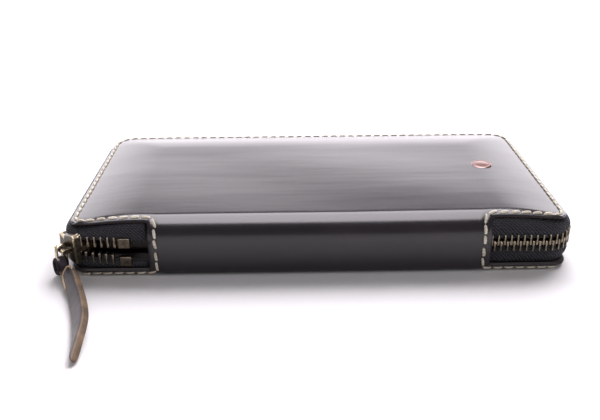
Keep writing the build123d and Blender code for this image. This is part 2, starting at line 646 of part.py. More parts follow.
def coin_pull_tab():
    """Flat pull with an eye round the upright pin."""
    eye = Pos(COIN_SLIDER_X, COIN_PIN_Y, COIN_ZIP_Z) * (Cylinder(1.1, 2.2) - Cylinder(0.52, 3.0))
    tab = block(COIN_SLIDER_X - 11.0, COIN_SLIDER_X - 0.8, COIN_PIN_Y - 0.5, COIN_PIN_Y + 0.5,
                COIN_ZIP_Z - 1.1, COIN_ZIP_Z + 1.1)
    tab += block(COIN_SLIDER_X - 11.0, COIN_SLIDER_X - 5.0, COIN_PIN_Y - 0.5, COIN_PIN_Y + 0.5,
                 COIN_ZIP_Z - 2.2, COIN_ZIP_Z + 2.2)
    return eye + tab


# ---------------------------------------------------------------- write every node
save("cover_top_panel", cover_top())
save("cover_bottom_panel", cover_bottom())
save("cover_spine_panel", spine_leather())
layer = under_dome(HEIGHT + 0.05) - under_dome(HEIGHT - GROOVE_DEPTH + 0.02)
save("stitches_top", group([prism & layer for prism in stitch_prisms(12.0, HEIGHT + 2)]))
save("stitches_bottom", group(stitch_prisms(0.03, GROOVE_DEPTH - 0.02)))
save("stitches_spine", group(spine_stitches()))
save("emblem_stud", emblem_stud())

save("lining_top", domed_layer(lining_sheet(), HEIGHT - LEATHER - GAP, 0.5))
save("lining_bottom", plate(lining_sheet(), LEATHER + GAP, LEATHER + GAP + 0.5))
save("lining_spine", block(-56.0, 56.0, SPINE_Y + LEATHER + 0.2, SPINE_Y + LEATHER + 0.6,
                           HINGE_BOTTOM_Z + 0.8, HINGE_TOP_Z - 0.8))
save_card_pockets()
for gusset_name, gusset_side in (("left", -1), ("right", 1)):
    save(f"gusset_lower_{gusset_name}", gusset(gusset_side, 5.9, False))
    save(f"gusset_upper_{gusset_name}", gusset(gusset_side, 15.15, True))

save("zip_teeth_upper", group(teeth(True)))
save("zip_teeth_lower", group(teeth(False)))
save("zip_tape_upper", zip_tape(True))
save("zip_tape_lower", zip_tape(False))
save("zip_top_stop_upper", top_stop(True))
save("zip_top_stop_lower", top_stop(False))
save("zip_bottom_stop", bottom_stop())
save("slider_body", slider_body())
save("slider_bridge", slider_bridge())
save("pull_bail", pull_bail())
save("pull_strap", pull_strap())

save_coin_pocket()
save_coin_zip()
save("coin_slider_body", coin_slider_body())
save("coin_slider_bridge", coin_slider_bridge())
save("coin_pull_tab", coin_pull_tab())
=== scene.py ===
import bpy
import bmesh
import math
import random
from mathutils import Matrix, Vector


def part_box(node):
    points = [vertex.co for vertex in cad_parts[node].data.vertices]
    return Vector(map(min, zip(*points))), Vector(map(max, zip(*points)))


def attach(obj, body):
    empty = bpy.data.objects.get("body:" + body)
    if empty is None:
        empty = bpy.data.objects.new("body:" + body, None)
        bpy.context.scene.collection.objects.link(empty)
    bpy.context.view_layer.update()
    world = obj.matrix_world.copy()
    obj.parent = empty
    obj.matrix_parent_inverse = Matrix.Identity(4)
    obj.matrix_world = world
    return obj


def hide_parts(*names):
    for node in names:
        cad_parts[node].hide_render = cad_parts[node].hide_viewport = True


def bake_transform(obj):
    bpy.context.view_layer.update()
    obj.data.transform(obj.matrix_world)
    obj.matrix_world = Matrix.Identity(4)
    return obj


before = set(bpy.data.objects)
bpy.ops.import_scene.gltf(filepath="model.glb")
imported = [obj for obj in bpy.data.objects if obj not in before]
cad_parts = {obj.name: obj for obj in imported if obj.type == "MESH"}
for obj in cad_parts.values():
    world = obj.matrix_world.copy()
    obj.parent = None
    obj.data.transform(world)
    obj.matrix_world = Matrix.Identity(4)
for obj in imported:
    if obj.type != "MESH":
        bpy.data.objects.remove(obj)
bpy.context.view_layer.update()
random.seed(11)

MM = 0.001
RIGHT = Vector((1, 0, 0))
BACK = Vector((0, 1, 0))
UP = Vector((0, 0, 1))

# Sizes of the wallet in millimetres.  They agree with the CAD model's unless a comment says why not.
SPINE_Y = -52.5
SPINE_HALF = 65.5
COVER_HALF = 97.3
COVER_BACK = 49.7
CORNER = 10.0
LEATHER = 1.6
HEIGHT = 24.0
CROWN = 0.15               # the leather lies this far under the wallet's full height
TOP_BEND = (6.8, 10.5)     # depth and height of the fold, where the CAD's is round
BOTTOM_BEND = (2.6, 2.6)   # tighter than the CAD's, as the wallet's weight presses it flat
BEND_STEPS = 40
FILLET = 1.7               # inner corners where the spine leather meets a cover's front edge
SPLIT_Z = 11.0             # where the rows of teeth meet, and the two halves of the leather
ZIP_FRONT = -50.5
ZIP_BACK = 52.5
ZIP_HALF = 100.0
ZIP_RADIUS = 12.0
TOOTH_DEPTH = 2.4
TOOTH_PITCH = 2.5
TOOTH_OVERLAP = 1.6        # how far the two rows mesh
TAPE_ENDS = (-66.5, 58.0)
STOP_WAY = 6.5             # from the left tape's end to the top stops
STOP_LENGTH = 4.5
FIRST_TOOTH = 1.4          # from the top stops
LAST_TOOTH = 5.0           # from the right tape's end
SLIDER_ANGLE = 225.0
SLIDER_TAIL = 2.5          # where the rows meet, behind the slider's middle
SLIDER_MOUTH = 5.65        # where the rows leave the slider, in front of its middle
SPREAD_SLOPE = 0.24        # how fast the rows part inside the slider
OPEN_UPPER = 1.1           # rise of the upper row at its stop
OPEN_LOWER = 4.4           # fall of the lower row at its stop
STITCH_PITCH = 4.3
STITCH_LENGTH = 4.05       # the thread is thicker than the CAD's and lies nearer to the edge
STITCH_WIDTH = 1.18
STITCH_INSET = 2.4
FRONT_INSET = 1.8          # along the front edges, beside the zip's ends
FLAT_HALF = 70.0           # flat part of the top cover
FLAT_BACK = 25.0
DROOP = 4.0                # how far the top cover's edges hang below its middle
SAG = 0.28                 # unevenness of the top cover's face
SAG_FADE = 20.0            # distance from the edge over which it fades
RISE = 0.9                 # how far the bottom cover's edges turn up
RISE_WIDTH = 7.5
BOW = 0.175                # how far the spine's ends stand forward of straight
RIM = 0.8                  # width of the rounded edge of the cover leather
RIM_BULGE = 0.38
RIM_ROLL = (0.45, 0.5)     # how far the outer and the inner face turn towards each other there
GROOVE = 0.16              # dent under the thread
GROOVE_WIDTH = 0.9
TOP_FRONT = -4.0           # front edge of each cover, measured from its fold as in Hide
BOTTOM_FRONT = -3.5
LEFT_CORNER = Vector((-ZIP_HALF + ZIP_RADIUS, ZIP_FRONT + ZIP_RADIUS, 0.0))


# ---- materials
class Nodes:
    """A short way to write a shader tree."""

    def __init__(self, name):
        self.material = bpy.data.materials.new(name)
        self.material.use_nodes = True
        self.tree = self.material.node_tree
        self.shader = self.tree.nodes["Principled BSDF"]
        self.place = self.add("ShaderNodeTexCoord", {}).outputs["Object"]

    def add(self, kind, values, **settings):
        """A new node with its settings, and the values or links of its sockets."""
        node = self.tree.nodes.new(kind)
        for key, value in settings.items():
            setattr(node, key, value)
        self.feed(node, values)
        return node

    def feed(self, node, values):
        """Link a node's sockets to other nodes' outputs, or set plain values on them."""
        for name, value in values.items():
            if isinstance(value, bpy.types.NodeSocket):
                self.tree.links.new(value, node.inputs[name])
            else:
                node.inputs[name].default_value = value

    def noise(self, scale, detail=4.0, roughness=0.55, distortion=0.0, stretch=None):
        place = self.place
        if stretch is not None:
            place = self.add("ShaderNodeMapping", {"Scale": stretch, "Vector": place}).outputs["Vector"]
        values = {"Scale": scale, "Detail": detail, "Roughness": roughness, "Distortion": distortion}
        return self.add("ShaderNodeTexNoise", values | {"Vector": place}).outputs["Fac"]

    def cells(self, scale):
        node = self.add("ShaderNodeTexVoronoi", {"Scale": scale, "Vector": self.place},
                        feature="DISTANCE_TO_EDGE")
        return node.outputs["Distance"]

    def wave(self, scale, axis, distortion):
        values = {"Scale": scale, "Distortion": distortion, "Vector": self.place}
        return self.add("ShaderNodeTexWave", values, bands_direction=axis).outputs["Fac"]

    def ramp(self, source, *stops):
        node = self.add("ShaderNodeValToRGB", {"Fac": source})
        elements = node.color_ramp.elements
        for element, (place, colour) in zip(elements, stops):
            element.position = place
            element.color = (*colour, 1.0)
        return node.outputs["Color"]

    def mask(self, source, low, high):
        """Black up to low and white from high."""
        return self.ramp(source, (low, (0.0, 0.0, 0.0)), (high, (1.0, 1.0, 1.0)))

    def span(self, source, low, high):
        values = {"Value": source, "To Min": low, "To Max": high}
        return self.add("ShaderNodeMapRange", values).outputs["Result"]

    def math(self, operation, a, b):
        return self.add("ShaderNodeMath", {0: a, 1: b}, operation=operation).outputs["Value"]

    def bump(self, height, strength, distance, under=None):
        values = {"Height": height, "Strength": strength, "Distance": distance}
        if under is not None:
            values["Normal"] = under
        return self.add("ShaderNodeBump", values).outputs["Normal"]

    def edge_wear(self, low, high):
        """White on worn convex edges, from the mesh's own curvature."""
        return self.mask(self.add("ShaderNodeNewGeometry", {}).outputs["Pointiness"], low, high)

    def mix(self, factor, under, over):
        """A plain colour over a tree's colour: sockets 6 and 7, and output 2."""
        values = {"Factor": factor, 6: under, 7: (*over, 1.0)}
        return self.add("ShaderNodeMix", values, data_type="RGBA").outputs[2]

    def finish(self, colour, roughness, normal=None, **constants):
        values = {name.replace("_", " "): value for name, value in constants.items()}
        if normal is not None:
            values["Normal"] = normal
        self.feed(self.shader, values | {"Base Color": colour, "Roughness": roughness})
        return self.material


def cover_leather():
    """Polished, nearly black aubergine hide with faint streaks along its length."""
    n = Nodes("cover_leather")
    cloud = n.noise(26.0, 5.0, 0.6)
    colour = n.ramp(cloud, (0.3, (0.0070, 0.0045, 0.0075)), (0.7, (0.016, 0.010, 0.016)))
    soft = n.bump(n.noise(24.0, 2.0, 0.5, stretch=(0.35, 1.0, 1.0)), 0.30, 0.0012)
    streaks = n.bump(n.noise(150.0, 3.0, 0.5, stretch=(0.12, 1.0, 1.0)), 0.11, 0.0005, soft)
    rough = n.span(n.noise(60.0, 6.0, 0.65, stretch=(0.3, 1.0, 1.0)), 0.19, 0.31)
    return n.finish(colour, rough, streaks, Coat_Weight=0.2, Coat_Roughness=0.14,
                    Specular_IOR_Level=0.5)


def edge_leather():
    """Dyed and burnished cut edge of the cover leather."""
    n = Nodes("edge_leather")
    fibre = n.noise(900.0, 4.0, 0.7, stretch=(1.0, 1.0, 0.25))
    colour = n.ramp(fibre, (0.25, (0.012, 0.008, 0.010)), (0.75, (0.035, 0.022, 0.022)))
    return n.finish(colour, n.span(fibre, 0.55, 0.75), n.bump(fibre, 0.25, 0.0002),
                    Specular_IOR_Level=0.2)


def inner_leather(name, dark, light):
    """Soft, matter leather for linings and card pockets."""
    n = Nodes(name)
    cloud = n.noise(40.0, 5.0, 0.6)
    colour = n.ramp(cloud, (0.3, dark), (0.75, light))
    grain = n.cells(1100.0)
    soft = n.bump(n.noise(90.0, 3.0), 0.15, 0.0005)
    return n.finish(colour, n.span(cloud, 0.42, 0.62), n.bump(grain, 0.12, 0.0003, soft))


def strap_face():
    """The pull's smooth dark face, scuffed by fingers."""
    n = Nodes("strap_face")
    cloud = n.noise(160.0, 6.0, 0.6, 0.6)
    colour = n.ramp(cloud, (0.3, (0.014, 0.010, 0.014)), (0.72, (0.070, 0.052, 0.066)))
    rough = n.span(n.noise(420.0, 5.0), 0.22, 0.46)
    return n.finish(colour, rough, n.bump(n.noise(700.0, 4.0), 0.12, 0.0003), Coat_Weight=0.25,
                    Coat_Roughness=0.2)


def strap_edge():
    """Raw burnished edge of vegetable-tanned leather: brown and tan fibres in layers."""
    n = Nodes("strap_edge")
    fibre = n.noise(1100.0, 6.0, 0.7)
    patch = n.noise(150.0, 4.0, 0.6)
    brown = n.ramp(fibre, (0.25, (0.030, 0.020, 0.012)), (0.75, (0.115, 0.075, 0.042)))
    colour = n.mix(n.mask(patch, 0.42, 0.7), brown, (0.22, 0.135, 0.072))
    return n.finish(colour, n.span(fibre, 0.45, 0.7), n.bump(fibre, 0.3, 0.0003))


def tan_edge():
    """The fold's freshly cut edge, lighter and more orange."""
    n = Nodes("tan_edge")
    fibre = n.noise(900.0, 5.0, 0.7)
    colour = n.ramp(fibre, (0.25, (0.48, 0.30, 0.15)), (0.75, (0.85, 0.64, 0.40)))
    return n.finish(colour, 0.55, n.bump(fibre, 0.3, 0.0003))


def thread():
    """Thick waxed cream thread, twisted."""
    n = Nodes("cream_thread")
    cloud = n.noise(300.0, 4.0)
    ply = n.wave(900.0, "DIAGONAL", 1.5)
    colour = n.ramp(cloud, (0.25, (0.74, 0.65, 0.46)), (0.75, (0.95, 0.90, 0.76)))
    fuzz = n.bump(n.noise(5200.0, 3.0), 0.15, 0.0001)
    return n.finish(colour, 0.62, n.bump(ply, 0.5, 0.0002, fuzz), Sheen_Weight=0.25)


def woven(name, dark, light):
    """Woven zip tape: fine ribs along the zip crossed by a herringbone."""
    n = Nodes(name)
    warp = n.wave(520.0, "Z", 0.8)
    weft = n.wave(430.0, "DIAGONAL", 1.2)
    cloth = n.math("MULTIPLY", warp, weft)
    colour = n.ramp(n.math("ADD", cloth, n.noise(1300.0, 2.0)), (0.50, dark), (1.0, light))
    fibre = n.bump(n.noise(1600.0, 3.0), 0.5, 0.0003)
    return n.finish(colour, 0.85, n.bump(cloth, 0.8, 0.0004, fibre), Specular_IOR_Level=0.25,
                    Sheen_Weight=0.10, Sheen_Roughness=0.5)


def antique_metal(name, dark, light, bright, wear):
    """Antiqued metal: dark patina in the hollows and bright metal on the worn edges."""
    n = Nodes(name)
    patina = n.ramp(n.noise(800.0, 5.0, 0.65), (0.3, dark), (0.72, light))
    colour = n.mix(n.edge_wear(*wear), patina, bright)
    rough = n.span(n.noise(1500.0, 4.0), 0.20, 0.42)
    scratch = n.noise(600.0, 4.0, 0.7, stretch=(1.0, 1.0, 6.0))
    return n.finish(colour, rough, n.bump(scratch, 0.10, 0.0001), Metallic=1.0)


LEATHER_COVER = cover_leather()
LEATHER_EDGE = edge_leather()
LINING = inner_leather("lining_leather", (0.020, 0.012, 0.011), (0.045, 0.028, 0.024))
POCKET = inner_leather("pocket_leather", (0.014, 0.009, 0.010), (0.032, 0.020, 0.021))
STRAP_FACE = strap_face()
STRAP_EDGE = strap_edge()
TAN_EDGE = tan_edge()
THREAD = thread()
TAPE = woven("zip_tape", (0.003, 0.003, 0.005), (0.045, 0.044, 0.058))
ZIP_METAL = antique_metal("zip_metal", (0.026, 0.021, 0.016), (0.13, 0.106, 0.078),
                          (0.32, 0.27, 0.20), (0.50, 0.60))
SLIDER_METAL = antique_metal("slider_metal", (0.022, 0.018, 0.013), (0.10, 0.082, 0.060),
                             (0.72, 0.62, 0.44), (0.505, 0.56))
STUD_METAL = antique_metal("stud_metal", (0.20, 0.11, 0.10), (0.34, 0.20, 0.18),
                           (0.52, 0.38, 0.35), (0.52, 0.60))


# ---- mesh helpers
def make_object(name, points, faces, materials, face_materials=None):
    """A mesh object from points in millimetres."""
    mesh = bpy.data.meshes.new(name)
    mesh.from_pydata([(p[0] * MM, p[1] * MM, p[2] * MM) for p in points], [], faces)
    for material in materials:
        mesh.materials.append(material)
    if face_materials:
        mesh.polygons.foreach_set("material_index", face_materials)
    mesh.polygons.foreach_set("use_smooth", [True] * len(mesh.polygons))
    mesh.update()
    piece = bpy.data.objects.new(name, mesh)
    bpy.context.scene.collection.objects.link(piece)
    tidy = bmesh.new()
    tidy.from_mesh(mesh)
    bmesh.ops.recalc_face_normals(tidy, faces=tidy.faces)
    tidy.to_mesh(mesh)
    tidy.free()
    return piece


def apply_modifiers(piece):
    """Bake a piece's modifiers into its mesh."""
    bpy.context.view_layer.update()
    graph = bpy.context.evaluated_depsgraph_get()
    mesh = bpy.data.meshes.new_from_object(piece.evaluated_get(graph))
    piece.modifiers.clear()
    piece.data = mesh
    return piece


def subdivide(piece, levels=1):
    modifier = piece.modifiers.new("subdivision", "SUBSURF")
    modifier.levels = levels
    modifier.render_levels = levels
    return apply_modifiers(piece)


def loft(rings, looped=False):
    """Points and faces that join a row of rings, with a cap at both ends unless it is looped."""
    size = len(rings[0])
    points = [point for ring in rings for point in ring]
    faces = []
    for row in range(len(rings) if looped else len(rings) - 1):
        a = row * size
        b = ((row + 1) % len(rings)) * size
        for k in range(size):
            m = (k + 1) % size
            faces.append((a + k, a + m, b + m, b + k))
    if not looped:
        faces.append(tuple(range(size)))
        faces.append(tuple(reversed(range((len(rings) - 1) * size, len(rings) * size))))
    return points, faces


def turns(count):
    """Angles at even steps round a circle."""
    return [2 * math.pi * k / count for k in range(count)]


def oval(centre, a, b, width, depth, count):
    """A ring of points along the directions a and b."""
    return [centre + a * (width * math.cos(turn)) + b * (depth * math.sin(turn))
            for turn in turns(count)]


def rounded(x, y, half, front, back, radius):
    """Move a place on a rectangle so that the rectangle's corners become round."""
    over_x = abs(x) - (half - radius)
    for edge, way in ((back, 1), (front, -1)):
        over_y = (y - (edge - way * radius)) * way
        if over_x > 0 and over_y > 0:
            a = over_x / radius
            b = over_y / radius
            round_x = half - radius + radius * a * math.sqrt(1 - b * b / 2)
            round_y = radius * b * math.sqrt(1 - a * a / 2)
            return math.copysign(round_x, x), edge - way * radius + way * round_y
    return x, y


def add_shape(points, faces, shape, sides):
    """Add a shape's points and faces to a mesh's."""
    faces += [tuple(k + len(points) for k in face) for face in sides]
    points += shape


def sheet_faces(index, columns, rows):
    """Faces of a sheet's two layers, one of each in turn, where all four corners exist."""
    faces = []
    for j in range(rows - 1):
        for i in range(columns - 1):
            corners = [(i, j), (i + 1, j), (i + 1, j + 1), (i, j + 1)]
            if all((0, *corner) in index for corner in corners):
                faces.append(tuple(index[0, *corner] for corner in corners))
                faces.append(tuple(index[1, *corner] for corner in reversed(corners)))
    return faces


def open_edges(faces):
    """Edges that only one face has."""
    uses = {}
    for face in faces:
        for edge in zip(face, face[1:] + face[:1]):
            uses.setdefault(frozenset(edge), []).append(edge)
    return [edges[0] for edges in uses.values() if len(edges) == 1]


def steps(start, end, near, far, reach):
    """Places from start to end: fine steps within reach of both ends, coarse steps between."""
    places = [start]
    sign = 1 if end > start else -1
    while abs(end - places[-1]) > 1e-6:
        edge = min(abs(places[-1] - start), abs(end - places[-1]))
        step = near if edge < reach else far
        if abs(end - places[-1]) < step * 1.5:
            places.append(end)
        else:
            places.append(places[-1] + sign * step)
    return places


def smoothstep(x):
    x = min(1.0, max(0.0, x))
    return x * x * (3 - 2 * x)


def wobble(x, y, scale, seed):
    """A gentle, repeatable unevenness between -1 and 1."""
    return (math.sin(x / scale + seed) * math.cos(y / (scale * 0.8) + 1.7 * seed)
            + 0.5 * math.sin((x + 1.3 * y) / (scale * 0.55) + 2.3 * seed)) / 1.5


# ---- outer leather
def droop(distance, run):
    """Fall of the arc that drops by DROOP over a run."""
    if distance <= 0:
        return 0.0
    radius = (run * run + DROOP * DROOP) / (2 * DROOP)
    return radius - math.sqrt(max(0.0, radius * radius - distance * distance))


def dome(x, y):
    """Height of the top cover's outer face over a place, without its folds."""
    across = droop(abs(x) - FLAT_HALF, COVER_HALF - FLAT_HALF)
    back = droop(y - FLAT_BACK, COVER_BACK - FLAT_BACK)
    fall = (across ** 3 + back ** 3) ** (1 / 3)
    sag = SAG * wobble(x, y, 33.0, 0.4)
    sag *= smoothstep((COVER_HALF - abs(x)) / SAG_FADE) * smoothstep((COVER_BACK - y) / SAG_FADE)
    return HEIGHT - CROWN - fall + sag


def rise(rim):
    """How far the bottom cover turns up at a distance inside its edge."""
    return RISE * smoothstep((RISE_WIDTH - rim) / RISE_WIDTH)


class Hide:
    """The developed shape of one half of the outer leather.

    u runs along the spine.  v runs from the back edge to the fold and on down the spine, and is 0
    where the fold starts."""

    def __init__(self, top):
        self.top = top
        self.deep, self.tall = TOP_BEND if top else BOTTOM_BEND
        self.fold_y = SPINE_Y + self.deep
        self.table = [(0.0, 0.0, 0.0)]
        for k in range(1, BEND_STEPS + 1):
            turn = math.pi / 2 * k / BEND_STEPS
            run, y, z = self.table[-1]
            new_y = -self.deep * math.sin(turn)
            new_z = self.tall * (1 - math.cos(turn))
            self.table.append((run + math.hypot(new_y - y, new_z - z), new_y, new_z))
        self.arc = self.table[-1][0]
        fold_z = HEIGHT - CROWN - self.tall if top else self.tall
        self.spine_run = abs(fold_z - SPLIT_Z)
        self.v_end = -(self.arc + self.spine_run)
        self.v_front = TOP_FRONT if top else BOTTOM_FRONT
        self.v_back = COVER_BACK - self.fold_y

    def rim(self, u, v):
        """Distance inside the cut edge of the leather."""
        du = COVER_HALF - abs(u)
        back = self.v_back - v
        front = v - self.v_front
        in_u = CORNER - du
        for other in (back, front):
            in_v = CORNER - other
            if in_u > 0 and in_v > 0:
                return CORNER - math.hypot(in_u, in_v)
        a = abs(u) - SPINE_HALF
        if a < FILLET and front > -FILLET:
            front = math.hypot(FILLET - a, FILLET + front) - FILLET
        elif a < FILLET:
            return -a
        return min(du, back, front)

    def fillet(self, u, v):
        """Fill the sharp inner corners between the front edges and the spine."""
        a = (abs(u) - SPINE_HALF) / FILLET
        b = (self.v_front - v) / FILLET
        if a >= 1 or b >= 1 or a <= -1 or b <= -1:
            return u, v
        fade = (1 - max(0.0, -min(a, b))) ** 2 if min(a, b) < 0 else 1.0
        slide = max(a, b, 0.0)
        angle = math.radians(45) * (1 - slide)
        along_edge = FILLET * (1 - math.sin(angle) - slide) * fade
        off_edge = FILLET * (1 - math.cos(angle)) * fade
        da, db = (along_edge, off_edge) if a > b else (off_edge, along_edge)
        return math.copysign(abs(u) + da, u), v - db

    def outer(self, u, v):
        """A point of the outer face."""
        rim = self.rim(u, v)
        if v >= 0:
            y = self.fold_y + v
            across = 0.0
        elif v > -self.arc:
            row = next(k for k, step in enumerate(self.table) if step[0] >= -v)
            (r0, y0, z0), (r1, y1, z1) = self.table[row - 1], self.table[row]
            part = (-v - r0) / (r1 - r0)
            y = self.fold_y + y0 + (y1 - y0) * part
            across = z0 + (z1 - z0) * part
        else:
            y = SPINE_Y
            across = self.tall - self.arc - v
        if self.top:
            ease = 1 - smoothstep((self.fold_y - y) / self.deep)
            crown = HEIGHT - CROWN
            z = crown - across - (crown - dome(u, max(y, self.fold_y))) * ease * (0.4 + 0.6 * ease)
        else:
            z = across + rise(rim) * smoothstep((v + self.arc) / (0.7 * self.arc))
        bow = BOW * (u / SPINE_HALF) ** 2 * smoothstep(-v / self.arc) * (abs(u) <= SPINE_HALF)
        return Vector((u, y + bow, z)), rim

    def normal(self, u, v):
        """Outward direction of the outer face."""
        step = 0.2
        a = self.outer(u + step, v)[0] - self.outer(u - step, v)[0]
        b = self.outer(u, v + step)[0] - self.outer(u, v - step)[0]
        n = a.cross(b).normalized()
        return n if self.top else -n

    def surface(self, u, v):
        """Outer face with its pressed rim and the dents under the thread."""
        point, rim = self.outer(u, v)
        n = self.normal(u, v)
        press = GROOVE * math.exp(-((rim - STITCH_INSET) / GROOVE_WIDTH) ** 2)
        roll = RIM_ROLL[0] * (1 - smoothstep(rim / RIM)) + 0.10 * (1 - smoothstep(rim / STITCH_INSET))
        return point - n * (press + roll), n, rim


def hide_sheet(hide, us, vs, on_hide):
    """Points of the outer and the inner face, and their numbers by layer, column and row."""
    points, index = [], {}
    for layer in (0, 1):
        for j, v in enumerate(vs):
            for i, u in enumerate(us):
                if not on_hide(i, j):
                    continue
                place = rounded(u, v, COVER_HALF, hide.v_front, hide.v_back, CORNER)
                point, n, rim = hide.surface(*hide.fillet(*place))
                if layer == 1:
                    roll = 1 - smoothstep(rim / RIM)
                    point = point - n * (LEATHER - sum(RIM_ROLL) * roll)
                index[layer, i, j] = len(points)
                points.append(point)
    return points, index


def close_rim(points, faces, kinds, seam):
    """Join the two layers along their open edges: flat at the seam, and round elsewhere."""
    shift = len(points) // 2
    middle = {}
    for a, b in open_edges(faces[::2]):
        if a in seam and b in seam:
            faces.append((b, a, a + shift, b + shift))
            kinds.append(1)
            continue
        for k in (a, b):
            if k not in middle:
                middle[k] = len(points)
                points.append((points[k] + points[k + shift]) / 2)
        faces.append((b, a, middle[a], middle[b]))
        faces.append((middle[b], middle[a], a + shift, b + shift))
        kinds += [1, 1]
    for k in seam & set(middle):
        faces.append((k, middle[k], k + shift))
        kinds.append(1)
    push_rim(points, middle, shift, faces)


def push_rim(points, middle, shift, faces):
    """Move the middle of the cut edge outwards, so that the edge is round."""
    neighbours = {}
    for face in faces:
        for k in face:
            neighbours.setdefault(k, set()).update(face)
    for k, raised in middle.items():
        inner = [points[m] for m in neighbours[k] if m < shift and m not in middle]
        if not inner:
            inner = [points[m] for m in neighbours[k] if m < shift and m != k]
        out = points[k] - sum(inner, Vector()) / len(inner)
        lean = points[k] - points[k + shift]
        out = out - lean * (out.dot(lean) / lean.length_squared)
        points[raised] = points[raised] + out.normalized() * RIM_BULGE


def hide_piece(name, top):
    """Half of the outer leather as one closed sheet with a rounded cut edge."""
    hide = Hide(top)
    side = steps(-COVER_HALF, -SPINE_HALF, 0.8, 1.6, 7.0)
    middle = steps(-SPINE_HALF, SPINE_HALF, 0.8, 2.6, 7.0)
    us = side + middle[1:] + [-u for u in reversed(side)][1:]
    cover = steps(hide.v_back, hide.v_front, 0.8, 2.2, 9.0)
    vs = cover + steps(hide.v_front, hide.v_end, 0.7, 0.9, 3.0)[1:]
    spine = range(len(side) - 1, len(side) + len(middle) - 1)
    points, index = hide_sheet(hide, us, vs, lambda i, j: j < len(cover) or i in spine)
    faces = sheet_faces(index, len(us), len(vs))
    kinds = [0, 1] * (len(faces) // 2)
    shift = len(points) // 2
    seam = {index[0, i, len(vs) - 1] for i in spine}
    close_rim(points, faces, kinds, seam)
    piece = make_object(name, points, faces, [LEATHER_COVER, LEATHER_EDGE], kinds)
    crease = piece.data.attributes.new("crease_edge", "FLOAT", "EDGE")
    for edge in piece.data.edges:
        if all(k in seam or k - shift in seam for k in edge.vertices):
            crease.data[edge.index].value = 1.0
            edge.use_edge_sharp = True
    return subdivide(piece)


def thread_path(hide):
    """Points (u, v) along the thread line, from one end of the spine to the other."""
    inset = STITCH_INSET
    radius = CORNER - inset
    u_side = COVER_HALF - inset
    v_back = hide.v_back - inset
    v_front = hide.v_front + FRONT_INSET
    u_turn = -SPINE_HALF - FILLET
    path = [(-SPINE_HALF + inset, hide.v_end + 0.5)]

    def arc(cu, cv, ru, rv, start, end, count=10):
        for k in range(count + 1):
            angle = math.radians(start + (end - start) * k / count)
            path.append((cu + ru * math.cos(angle), cv + rv * math.sin(angle)))

    arc(u_turn, hide.v_front - FILLET, FILLET + inset, FILLET + FRONT_INSET, 0, 90)
    arc(-u_side + radius, v_front + radius, radius, radius, -90, -180)
    arc(-u_side + radius, v_back - radius, radius, radius, 180, 90)
    path.append((0.0, v_back))
    return path + [(-u, v) for u, v in reversed(path[:-1])]


def along(path, pitch):
    """Evenly spaced places and headings on a path of points."""
    lengths = [math.dist(a, b) for a, b in zip(path, path[1:])]
    total = sum(lengths)
    count = round(total / pitch)
    places = []
    step = 0
    done = 0.0
    for k in range(count):
        way = (k + 0.5) * total / count
        while done + lengths[step] < way:
            done += lengths[step]
            step += 1
        part = (way - done) / lengths[step]
        a, b = path[step], path[step + 1]
        heading = Vector((b[0] - a[0], b[1] - a[1])).normalized()
        places.append((a[0] + (b[0] - a[0]) * part, a[1] + (b[1] - a[1]) * part, heading))
    return places


def stitch(centre, direction, n, length, width, slant):
    """One stitch: a twisted capsule that dives into the leather at both ends."""
    across = n.cross(direction).normalized()
    direction = (direction + across * slant).normalized()
    across = n.cross(direction).normalized()
    rings = []
    for k in range(9):
        t = k / 8 * 2 - 1
        swell = math.sqrt(max(0.0, 1 - abs(t) ** 3.2))
        radius = width / 2 * max(0.16, swell)
        lift = 0.30 - 0.55 * abs(t) ** 4
        middle = centre + direction * (t * length / 2) + n * lift
        ring = []
        for turn in turns(8):
            angle = turn + t * 1.4
            strand = 1 + 0.10 * math.cos(2 * (angle - t * 5))
            ring.append(middle + across * (radius * strand * math.cos(angle))
                        + n * (radius * 0.72 * strand * math.sin(angle)))
        rings.append(ring)
    return loft(rings)


def thread_piece(name, top):
    """All the stitches of one half of the outer leather."""
    hide = Hide(top)
    points, faces = [], []
    for u, v, heading in along(thread_path(hide), STITCH_PITCH):
        centre, n, _ = hide.surface(u, v)
        ahead = hide.surface(u + heading.x * 0.3, v + heading.y * 0.3)[0]
        direction = (ahead - centre).normalized()
        length = STITCH_LENGTH + random.uniform(-0.15, 0.15)
        width = STITCH_WIDTH + random.uniform(-0.10, 0.10)
        slant = 0.11 + random.uniform(-0.05, 0.05)
        add_shape(points, faces, *stitch(centre, direction, n, length, width, slant))
    return make_object(name, points, faces, [THREAD])


def fold_blend(piece, top):
    """Bake a piece of the outer leather's transform into its mesh."""
    if top:
        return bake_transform(piece)
    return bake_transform(piece)


for half, top, nodes in (("top", True, ("cover_top_panel", "cover_spine_panel")),
                         ("bottom", False, ("cover_bottom_panel",))):
    leather = fold_blend(hide_piece(f"leather_{half}", top), top)
    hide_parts(*nodes)
    stitches = fold_blend(thread_piece(f"thread_{half}", top), top)
    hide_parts(*(("stitches_top", "stitches_spine") if top else ("stitches_bottom",)))


# ---- main zip
def zip_runs():
    """Straight runs of the zip's line (length, start, outward angle) and its corners' centres."""
    centre = ZIP_HALF - ZIP_RADIUS
    front = ZIP_FRONT + ZIP_RADIUS
    back = ZIP_BACK - ZIP_RADIUS
    runs = [(centre + TAPE_ENDS[0], (TAPE_ENDS[0], ZIP_FRONT), 270),
            (back - front, (-ZIP_HALF, front), 180), (2 * centre, (-centre, ZIP_BACK), 90),
            (back - front, (ZIP_HALF, back), 0), (centre - TAPE_ENDS[1], (centre, ZIP_FRONT), -90)]
    corners = [(-centre, front), (-centre, back), (centre, back), (centre, front)]
    return runs, corners


